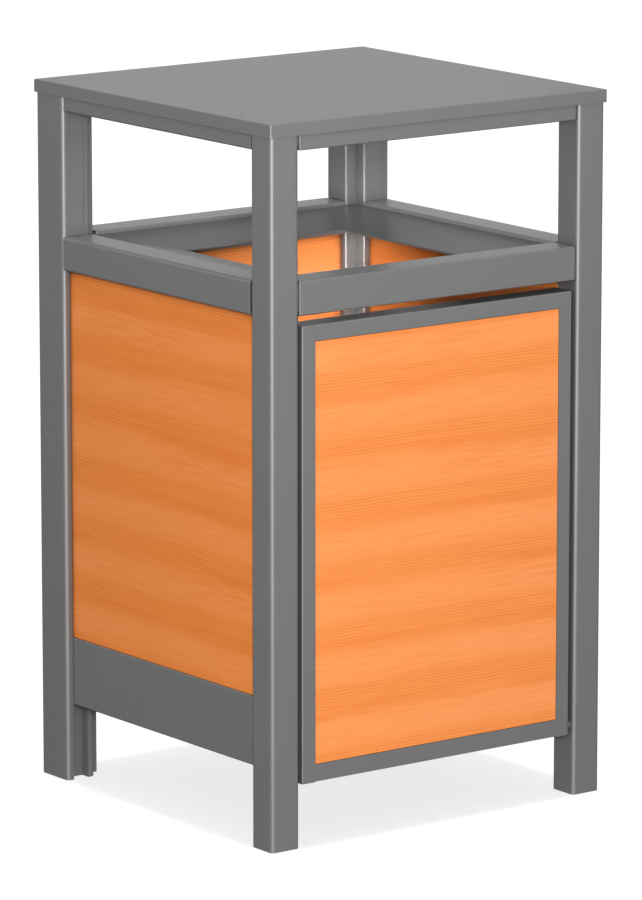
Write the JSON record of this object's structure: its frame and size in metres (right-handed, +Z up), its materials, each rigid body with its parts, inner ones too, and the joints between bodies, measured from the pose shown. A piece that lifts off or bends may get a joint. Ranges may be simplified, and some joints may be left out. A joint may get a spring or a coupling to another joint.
{
  "type": "trash receptacle",
  "caption": "Square roofed litter bin on corner posts, open on all sides under the roof, with a sloping hopper ring, panelled walls and a panelled tilt-out door over a lift-out liner.",
  "frame": {"origin": "middle of the footprint, on the floor", "axes": "+Z up, the door faces -Y, +X to the right of a person facing the door"},
  "size_m": [0.6146, 0.5976, 1.0645],
  "materials": {
    "extrusion": "satin grey powder coat",
    "sheet": "satin grey powder coat",
    "board": "orange wood grain, sealed, satin",
    "fasteners": "satin",
    "inner_blocks": "mill",
    "black_plastic": "matte",
    "liner_plastic": "matte moulded",
    "magnet": "matte"
  },
  "bodies": {
    "frame": {"front_left_post": "extrusion", "front_right_post": "extrusion", "rear_left_post": "extrusion", "rear_right_post": "extrusion", "front_mid_rail": "extrusion", "rear_mid_rail": "extrusion", "left_mid_rail": "extrusion", "right_mid_rail": "extrusion", "front_top_rail": "extrusion", "rear_top_rail": "extrusion", "left_top_rail": "extrusion", "right_top_rail": "extrusion", "left_bottom_rail": "extrusion", "right_bottom_rail": "extrusion", "rear_bottom_rail": "extrusion", "front_channel_fillers": "extrusion", "rear_channel_fillers": "extrusion", "roof_pan": "sheet", "hopper_plate": "sheet", "floor_pan": "sheet", "left_floor_bearer": "sheet", "right_floor_bearer": "sheet", "roof_cleats": "sheet", "catch_bracket": "sheet", "pivot_brackets": "sheet", "left_panel": "board", "right_panel": "board", "rear_panel": "board", "roof_nuts": "fasteners", "cleat_screws": "fasteners", "hopper_screws": "fasteners", "bottom_rail_screws": "fasteners", "bearer_screws": "fasteners", "pivot_bracket_screws": "fasteners", "catch_screws": "fasteners", "mid_rail_spigots": "inner_blocks", "top_rail_spigots": "inner_blocks", "front_foot_plugs": "black_plastic", "rear_foot_plugs": "black_plastic", "pivot_washers": "black_plastic", "liner": "liner_plastic", "catch_magnet": "magnet"},
    "door": {"door_left_stile": "extrusion", "door_right_stile": "extrusion", "door_top_rail": "extrusion", "door_bottom_rail": "extrusion", "door_panel": "board", "door_rail_spigots": "inner_blocks", "door_frame_screws": "fasteners", "door_end_caps": "black_plastic", "door_stop_pins": "fasteners", "pivot_bushes": "black_plastic", "strike_plate": "fasteners", "strike_screws": "fasteners"}
  },
  "joints": [
    {"name": "door_tilt", "type": "hinge", "parent": "frame", "child": "door", "pos_m": [0, -0.2812, 0.106], "axis": [1, 0, 0], "range_deg": [0, 90]}
  ]
}
